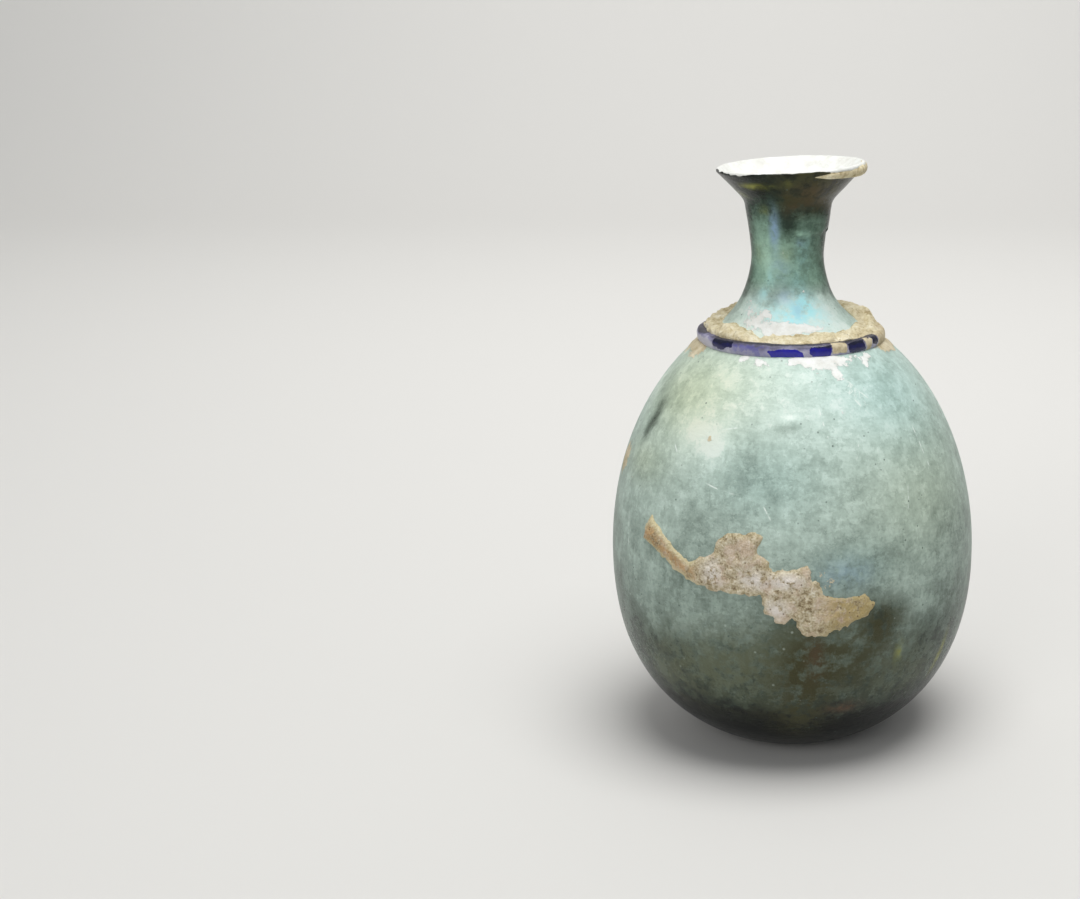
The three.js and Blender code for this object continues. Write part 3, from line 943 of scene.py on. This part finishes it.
def cobalt_glass():
    """Cobalt glass trailed hot: a bright gloss where it is bare, dull under film, and matt under soil."""
    material, tree, coords = new_material("cobalt glass thread")
    grain = grains(tree, coords, THREAD_GRAINS)
    mottle, fine = grain["mottle"], grain["fine"]
    share = {}
    for label in ("vivid", "film_tone_and_painted_light", "bluish"):
        share[label] = add(tree, "Attribute", out="Fac", attribute_name=label)
    glow = roughened(tree, share["vivid"], (mottle, 0.7))
    # The film's tone with painted light and shade, broken up by noise.
    noisy_film_tone_and_light = roughened(tree, share["film_tone_and_painted_light"], (mottle, 0.9))
    thin = add(tree, "MapRange", {0: mottle, 1: 0.44, 2: 0.6, 4: 0.65}, **SOFT)
    through = add(tree, "Math", {0: share["bluish"], 1: thin}, operation="MULTIPLY")
    veil = layered(tree, add(tree, "ValToRGB", {"Fac": noisy_film_tone_and_light}, ramp=FILM_TONE_AND_SHADE_RAMP), [("#45439a", through)])
    film = torn_patch(tree, "film", (0.46, 0.54), (mottle, 1.3), (fine, 0.5))
    soil = torn_patch(tree, "soil", (0.46, 0.54), (mottle, 1.2), (fine, 0.4))
    blue = add(tree, "ValToRGB", {"Fac": glow}, ramp=BLUE_RAMP)
    sand = add(tree, "ValToRGB", {"Fac": mottle}, ramp=THREAD_SAND_RAMP)
    colour = layered(tree, blue, [(veil, film), (sand, soil)])
    dull = add(tree, "MapRange", {0: film, 3: 0.14, 4: 0.5}, **SOFT)
    roughness = add(tree, "Mix", {0: soil, 2: dull, 3: 0.92})
    raised = add(tree, "Math", {0: film, 1: 0.35}, operation="MULTIPLY")
    height = roughened(tree, raised, (mottle, 0.3), (soil, 0.8))
    bump = add(tree, "Bump", {"Height": height, "Strength": 0.6, "Distance": 0.25 * MM})
    inputs = {"Base Color": colour, "Roughness": roughness, "Normal": bump, "IOR": 1.52}
    add(tree, "OutputMaterial", {"Surface": add(tree, "BsdfPrincipled", inputs)})
    return material


thread_points, thread_attributes = thread_grid()
thread = mesh_piece(
    "blue_thread",
    thread_points.reshape(-1, 3),
    list(grid_faces(COIL_ROWS, COIL_COLUMNS, wrap_rows=True, wrap_columns=True)),
    thread_attributes,
    cobalt_glass(),
)
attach(thread, "root")
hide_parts("blue_coil")

# %% [markdown]
# ## Soil behind the thread
# The ledge behind the thread caught soil, which was never cleaned out. It is a bank, low and broken into
# mounds at the front, and high at the back on the right, where it also covers the thread. Its section is an
# arch from the thread to the neck that is closed inside the glass, so the edge that shows is the natural
# line where the two surfaces meet. Scattered grains would be many small objects; noise on one surface looks
# alike.

# %% Heap the soil
SOIL_LOW = 1.7
SOIL_HIGH = 3.9
SOIL_HIGHEST_AT = math.radians(152)
SOIL_COLUMNS = 420
SOIL_ARCH = 22
SOIL_SUNK = 0.35
FRONT_MOUNDS = [(-70, -38, 1.4), (-38, -16, 1.0), (-16, 6, 0.85), (6, 30, 0.8), (30, 112, 0.6)]


def bank_height(turn):
    """Height of the bank above the middle of the thread: highest at the back, broken into mounds in front."""
    share = 0.5 + 0.5 * np.cos(turn - SOIL_HIGHEST_AT)
    whole = SOIL_LOW + (SOIL_HIGH - SOIL_LOW) * share
    degrees = np.degrees(turn)
    mounds = sum(rise * band(degrees, left, right, 8) for left, right, rise in FRONT_MOUNDS)
    at_front = band(degrees, -62, 104, 8)
    return whole * (1 - at_front + at_front * np.maximum(0.3, mounds))


def soil_grid():
    """Each section is a curve from the thread over a crest to the neck, and back inside the glass."""
    turn = np.linspace(-math.pi, math.pi, SOIL_COLUMNS, endpoint=False)[None, :]
    rise = bank_height(turn)
    covers = band(np.degrees(turn), 66, 175, 14)
    start_out = -0.3 + 1.25 * covers
    start = np.stack([COIL_RADIUS + start_out, COIL_HEIGHT + 1.05 - 0.5 * covers], axis=-1)
    end_height = COIL_HEIGHT + 0.5 + 1.1 * rise
    end = np.stack([glass_radius(end_height) - SOIL_SUNK, end_height], axis=-1)
    crest = np.stack([np.full_like(turn, COIL_RADIUS - 1.5), COIL_HEIGHT + 1.12 * rise], axis=-1)
    pull = 2 * crest - (start + end) / 2
    u = np.linspace(0, 1, SOIL_ARCH)[:, None, None]
    arch = (1 - u) ** 2 * start + 2 * u * (1 - u) * pull + u ** 2 * end
    groove = 0.9 * band(np.degrees(turn), 72, 118, 8) * np.exp(-((u[..., 0] - 0.66) / 0.13) ** 2)
    arch[..., 1] -= groove
    under = np.concatenate([end + [0.2, -1.2], start + [-0.6, -0.9]])
    under[..., 0] = np.minimum(under[..., 0], glass_radius(under[..., 1]) - SOIL_SUNK)
    ring = np.concatenate([arch, under])
    points = round_about(turn, ring[..., 0], ring[..., 1])
    outwards = np.stack([np.sin(turn), -np.cos(turn), np.full_like(turn, 1.4)], axis=-1)
    lumps = 0.34 * bumps(points, 3.2, 3, seed=21) + 0.16 * bumps(points, 0.9, 2, seed=22)
    lumps[SOIL_ARCH:] = 0
    return points + lumps[..., None] * outwards


soil_points = soil_grid()
print("soil up to", round(float(soil_points[..., 2].max()), 1), "mm")

# %% Make the burial soil
SOIL_GRAINS = {"cloud": (3.0, 5, 0.6, EVEN), "fine": (0.6, 3, 0.6, EVEN)}
SOIL_RAMP = [(0.24, "#a3916c"), (0.4, "#cbbd99"), (0.56, "#ded3b3"), (0.78, "#efe8d3")]


def burial_soil():
    """Sandy clay: pale, quite matt, with darker grains and a few brown specks."""
    material, tree, coords = new_material("burial soil")
    grain = grains(tree, coords, SOIL_GRAINS)
    tone = roughened(tree, grain["cloud"], (grain["fine"], 0.7))
    sand = add(tree, "ValToRGB", {"Fac": tone}, ramp=SOIL_RAMP)
    dark = specks(tree, coords, 1.3, 0.5, grain["cloud"], (0.42, 0.6), 0.7)
    colour = layered(tree, sand, [("#65533c", dark)])
    add(tree, "OutputMaterial", {"Surface": matt_surface(tree, colour, tone, 0.8, 0.3)})
    return material


soil_bank = mesh_piece(
    "soil_bank",
    soil_points.reshape(-1, 3),
    list(grid_faces(*soil_points.shape[:2], wrap_rows=True, wrap_columns=True)),
    {},
    burial_soil(),
)
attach(soil_bank, "root")
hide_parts("shoulder_soil")

# %% [markdown]
# ## The crust on the front
# A scab of soil and lime still clings to the front of the body. It is a thin, lumpy layer with a torn edge.
# A grid follows the glass over the whole patch, and its thickness comes from the distance to the outline:
# above zero inside, below zero outside, where the layer dives into the glass. The visible edge is where it
# emerges.

# %% Grow the crust
CRUST_THICKNESS = 0.62
CRUST_STEP = 0.3
CRUST_LOWEST = 31.5
CRUST_HIGHEST = 54.5
CRUST_LEFT = math.radians(-56)
CRUST_RIGHT = math.radians(28)
CRUST_SUNK = 0.3
CRUST_OUTLINE = np.array([
    [-27.4, 52.9], [-29.2, 50.4], [-28.9, 48.3], [-25.1, 45.5], [-20.2, 42.6], [-16.0, 41.3], [-5.7, 40.8],
    [-4.9, 37.8], [-2.9, 35.8], [-1.5, 35.5], [0.0, 37.1], [2.2, 33.7], [3.3, 32.8], [6.5, 32.7],
    [8.1, 33.7], [11.4, 34.7], [14.3, 36.4], [15.8, 38.6], [13.9, 40.7], [10.8, 40.0], [5.9, 41.3],
    [5.2, 43.2], [3.7, 43.9], [3.0, 47.2], [0.7, 46.4], [-3.5, 46.1], [-6.3, 49.2], [-5.6, 52.4],
    [-7.2, 53.1], [-9.3, 52.6], [-12.7, 52.8], [-14.3, 50.0], [-17.6, 47.2], [-20.2, 46.3],
    [-24.4, 49.3], [-26.3, 51.2],
])
WHITE_LUMPS = [
    (-15.0, 44.6, 3.4, 5.0), (-7.4, 44.2, 4.6, 3.4), (-1.4, 44.2, 6.4, 3.0), (-2.9, 38.4, 3.8, 4.0),
]


def inside_distance(points, outline):
    """Distance to a closed outline, positive inside it. For each side, the nearest point of the side is
    found, and crossings of a level ray tell inside from outside."""
    nearest = np.full(points.shape[:-1], np.inf)
    crossings = np.zeros(points.shape[:-1], int)
    for a, b in zip(outline, np.roll(outline, -1, axis=0)):
        side = b - a
        share = np.clip(((points - a) @ side) / (side @ side), 0, 1)
        nearest = np.minimum(nearest, np.linalg.norm(points - a - share[..., None] * side, axis=-1))
        straddles = (a[1] > points[..., 1]) != (b[1] > points[..., 1])
        rise = side[1] if side[1] else 1e-9
        crossing_at = a[0] + (points[..., 1] - a[1]) / rise * side[0]
        crossings += straddles & (points[..., 0] < crossing_at)
    return np.where(crossings % 2 == 1, nearest, -nearest)


def crust_grid():
    """A grid on the glass, how far each point lies inside the torn outline, and the thickness that gives: it
    swells quickly inside the edge, varies with lumps, and turns below zero outside."""
    columns = round(BELLY_RADIUS * (CRUST_RIGHT - CRUST_LEFT) / CRUST_STEP)
    rows = round((CRUST_HIGHEST - CRUST_LOWEST) / CRUST_STEP)
    turn = np.linspace(CRUST_LEFT, CRUST_RIGHT, columns)[None, :]
    height = np.linspace(CRUST_LOWEST, CRUST_HIGHEST, rows)[:, None]
    base = round_about(turn, glass_radius(height), height)
    reach = inside_distance(base[..., [0, 2]], CRUST_OUTLINE)
    torn = reach + 0.45 * bumps(base, 2.4, 2, seed=31) + 0.35 * bumps(base, 0.9, 2, seed=32)
    lumps = 1 + 0.5 * bumps(base, 4.0, 2, seed=33) + 0.4 * bumps(base, 1.3, 2, seed=34)
    swell = np.where(torn > 0, 1 - np.exp(-np.maximum(torn, 0) / 0.4), np.maximum(torn, -1.0))
    thickness = CRUST_THICKNESS * swell * np.where(torn > 0, lumps, 1)
    return turn, height, thickness, torn, base


def crust_colours(base, torn):
    """Shares of the colours: a yellowish right lobe, white lumps, an ochre core in the tail, and a pale edge.
    A lump is a bell curve of the distance from its middle, to the side and upwards."""
    x, z = base[..., 0], base[..., 2]
    white = 0
    for at, up, wide, tall in WHITE_LUMPS:
        white = white + np.exp(-((x - at) / wide * 2) ** 2 - ((z - up) / tall * 2) ** 2)
    tail = smooth(-x, 17, 20)
    core = smooth(torn, 0.5, 1.1) * tail
    edge = (1 - smooth(torn, 0.2, 1.2)) * (0.25 + 0.75 * tail)
    return {"yellow": smooth(x, 4, 9), "white": white, "core": core, "edge": edge}


def shell_over(turn, height, thickness, keep):
    """A closed thin shell over the kept cells: the lumpy face outside, a plain face sunk in the glass, and a
    wall of quads along the border of the kept cells, found as the cell sides that only one kept cell uses."""
    sunk = np.full_like(thickness, -CRUST_SUNK * 2)
    top = round_about(turn, glass_radius(height) + thickness, height)
    bottom = round_about(turn, glass_radius(height) + sunk, height)
    cells = grid_faces(*thickness.shape)[keep.ravel()]
    sides = np.stack([cells, np.roll(cells, -1, axis=1)], axis=-1).reshape(-1, 2)
    size = thickness.size
    forward = sides[:, 0] * size + sides[:, 1]
    backward = sides[:, 1] * size + sides[:, 0]
    border = sides[~np.isin(forward, backward)]
    walls = np.stack([border[:, 1], border[:, 0], border[:, 0] + size, border[:, 1] + size], axis=1)
    faces = np.vstack([cells, cells[:, ::-1] + size, walls])
    used, renumbered = np.unique(faces, return_inverse=True)
    points = np.concatenate([top.reshape(-1, 3), bottom.reshape(-1, 3)])[used]
    return points, renumbered.reshape(faces.shape), used % size


print("crust outline of", len(CRUST_OUTLINE), "points")

# %% [markdown]
# ## Lime and clay
# The crust is clay and lime baked together by ground water. It is tan, with whitish and pinkish lumps, a
# yellower lobe on the right and brown specks in its pits. One noise could mix all of these, but each has
# its own place on the object, so their shares are stored on the points and only their edges come from
# noise.

# %% Make the crust
CRUST_GRAINS = {"cloud": (4.0, 4, 0.55, EVEN), "lump": (1.5, 5, 0.68, EVEN), "fine": (0.4, 2, 0.5, EVEN)}
CRUST_RAMP = [(0.22, "#77664a"), (0.4, "#ab9d80"), (0.55, "#c8bca0"), (0.75, "#e2dccb")]
CRUST_STAINS = [("yellow", "#a8935c", 0.75), ("core", "#b18c5c", 0.8), ("white", "#e6dfd8", 0.9)]


def soil_crust():
    """Lime and clay baked together: tan, with white and pinkish lumps, brown specks and a cream edge."""
    material, tree, coords = new_material("lime and clay crust")
    grain = grains(tree, coords, CRUST_GRAINS)
    lump = grain["lump"]
    tone = roughened(tree, lump, (grain["fine"], 0.7), (grain["cloud"], 0.4))
    pink = add(tree, "MapRange", {0: grain["cloud"], 1: 0.48, 2: 0.6, 4: 0.5}, **SOFT)
    layers = [("#c3aa98", pink)]
    for label, stain, most in CRUST_STAINS:
        torn = add(tree, "MapRange", {0: lump, 1: 0.38, 2: 0.54, 4: most}, **SOFT)
        patch = add(tree, "Attribute", out="Fac", attribute_name=label)
        layers.append((stain, add(tree, "Math", {0: patch, 1: torn}, operation="MULTIPLY")))
    edge = add(tree, "Attribute", out="Fac", attribute_name="edge")
    layers.append(("#d3c79c", add(tree, "Math", {0: edge, 1: 0.7}, operation="MULTIPLY")))
    layers.append(("#66523a", specks(tree, coords, 1.3, 0.5, lump, (0.42, 0.56), 0.75)))
    colour = layered(tree, add(tree, "ValToRGB", {"Fac": tone}, ramp=CRUST_RAMP), layers)
    add(tree, "OutputMaterial", {"Surface": matt_surface(tree, colour, tone, 0.9, 0.4)})
    return material


crust_turn, crust_height, crust_thickness, crust_torn, crust_base = crust_grid()
highest_corner = np.maximum.reduce([
    crust_thickness[:-1, :-1],
    crust_thickness[:-1, 1:],
    crust_thickness[1:, 1:],
    crust_thickness[1:, :-1],
])
crust_points, crust_faces, crust_index = shell_over(
    crust_turn, crust_height, crust_thickness, highest_corner > -0.5 * CRUST_SUNK
)
crust = mesh_piece(
    "front_scab",
    crust_points,
    list(crust_faces),
    {label: share.ravel()[crust_index] for label, share in crust_colours(crust_base, crust_torn).items()},
    soil_crust(),
)
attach(crust, "root")
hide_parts("front_crust")

# %% [markdown]
# ## Soil under the lip
# On the right the hollow under the lip is packed with soil, so the thin lip looks like a thick roll there.
# It could be painted on, but it shows in the outline. So it is a tapering roll carried along the lip: a
# round section whose size swells and dies away along its path, and which never reaches through the glass.

# %% Pack soil under the lip
ROLL_FROM = math.radians(12)
ROLL_TO = math.radians(196)
ROLL_FATTEST_AT = math.radians(88)
ROLL_SIZE = 1.4
ROLL_RADIUS = 14.0
ROLL_HEIGHT = 117.55
ROLL_SUNK = 0.4
ROLL_COLUMNS = 200
ROLL_ROWS = 20


def roll_grid():
    """A round section carried along the lip, as large as a bell curve of the angle from its fattest place."""
    turn = np.linspace(ROLL_FROM, ROLL_TO, ROLL_COLUMNS)[None, :]
    section = np.linspace(-math.pi, math.pi, ROLL_ROWS, endpoint=False)[:, None]
    ends = band(turn, ROLL_FROM + 0.2, ROLL_TO - 0.2, 0.2)
    size = ROLL_SIZE * (0.4 + 0.6 * np.exp(-((turn - ROLL_FATTEST_AT) / 0.8) ** 2)) * ends + 0.02
    height = ROLL_HEIGHT + 0.9 * size * np.sin(section)
    radius = np.maximum(ROLL_RADIUS + size * np.cos(section), glass_radius(height) - ROLL_SUNK)
    points = round_about(turn, radius, height)
    outwards = np.stack(np.broadcast_arrays(np.sin(turn), -np.cos(turn), 0 * section), axis=-1)
    lumps = size * (0.2 * bumps(points, 2.4, 2, seed=41) + 0.1 * bumps(points, 0.8, 2, seed=42))
    return points + lumps[..., None] * outwards


roll_points = roll_grid()
first_end = np.arange(ROLL_ROWS) * ROLL_COLUMNS
roll_faces = list(grid_faces(ROLL_ROWS, ROLL_COLUMNS, wrap_rows=True))
roll_faces.append(first_end)
roll_faces.append((first_end + ROLL_COLUMNS - 1)[::-1])
lip_soil = mesh_piece("lip_soil", roll_points.reshape(-1, 3), roll_faces, {}, soil_bank.data.materials[0])
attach(lip_soil, "root")

# %% [markdown]
# ## Floor, backdrop and light
# A plain pale sheet bends up behind the flask like a photographer's paper roll, so no horizon shows. One
# large soft lamp overhead gives the pale shoulder and dark foot, a weak one in front opens the shadows, one
# behind the flask lights only the wall, and a grey sky fills the rest. Colours are shown without a film
# curve, so that a hex colour means what it says.

# %% Set the stage
SHEET_WIDTH = 8.0
SHEET_FRONT = -4.0
SHEET_BACK = 0.75
SHEET_BEND = 0.5
SHEET_TOP = 1.6
BEND_POINTS = 24


def backdrop():
    """A floor line, a quarter circle and a wall, carried sideways."""
    bend = np.linspace(0, math.pi / 2, BEND_POINTS)
    wall = SHEET_BACK + SHEET_BEND
    line_y = np.concatenate([[SHEET_FRONT], SHEET_BACK + SHEET_BEND * np.sin(bend), [wall]])
    line_z = np.concatenate([[0], SHEET_BEND * (1 - np.cos(bend)), [SHEET_TOP]])
    sides = np.array([SHEET_WIDTH / 2, -SHEET_WIDTH / 2])
    x, y = np.meshgrid(sides, line_y)
    z = np.broadcast_to(line_z[:, None], x.shape)
    points = np.stack([x, y, z], axis=-1) / MM
    material, tree, _ = new_material("pale paper")
    paper = add(tree, "BsdfPrincipled", {"Base Color": "#e0deda", "Roughness": 0.9})
    add(tree, "OutputMaterial", {"Surface": paper})
    sheet = mesh_piece("backdrop", points.reshape(-1, 3), list(grid_faces(*x.shape)), {}, material)
    return sheet


def soft_lamp(name, place, aim, size, watts):
    """A round lamp at a place in metres, turned so that it shines at its aim."""
    data = bpy.data.lights.new(name, "AREA")
    data.shape = "DISK"
    data.size = size
    data.energy = watts
    lamp = bpy.data.objects.new(name, data)
    lamp.visible_camera = False
    lamp.location = place
    lamp.rotation_euler = (Vector(aim) - Vector(place)).to_track_quat("-Z", "Y").to_euler()
    bpy.context.scene.collection.objects.link(lamp)
    return lamp


backdrop()
soft_lamp("overhead", (0.05, -0.12, 0.62), (0, 0, 0.07), 0.45, 3.0)
soft_lamp("front", (-0.35, -0.75, 0.4), (0, 0, 0.07), 0.5, 1.6)
soft_lamp("wall", (0, 0.35, 0.9), (0, 1.2, 0.5), 0.8, 7.0)
sky = bpy.data.worlds.new("grey sky")
sky.use_nodes = True
sky.node_tree.nodes["Background"].inputs["Color"].default_value = linear("#c9cdd0")
sky.node_tree.nodes["Background"].inputs["Strength"].default_value = 0.45
bpy.context.scene.world = sky
bpy.context.scene.view_settings.view_transform = "Standard"
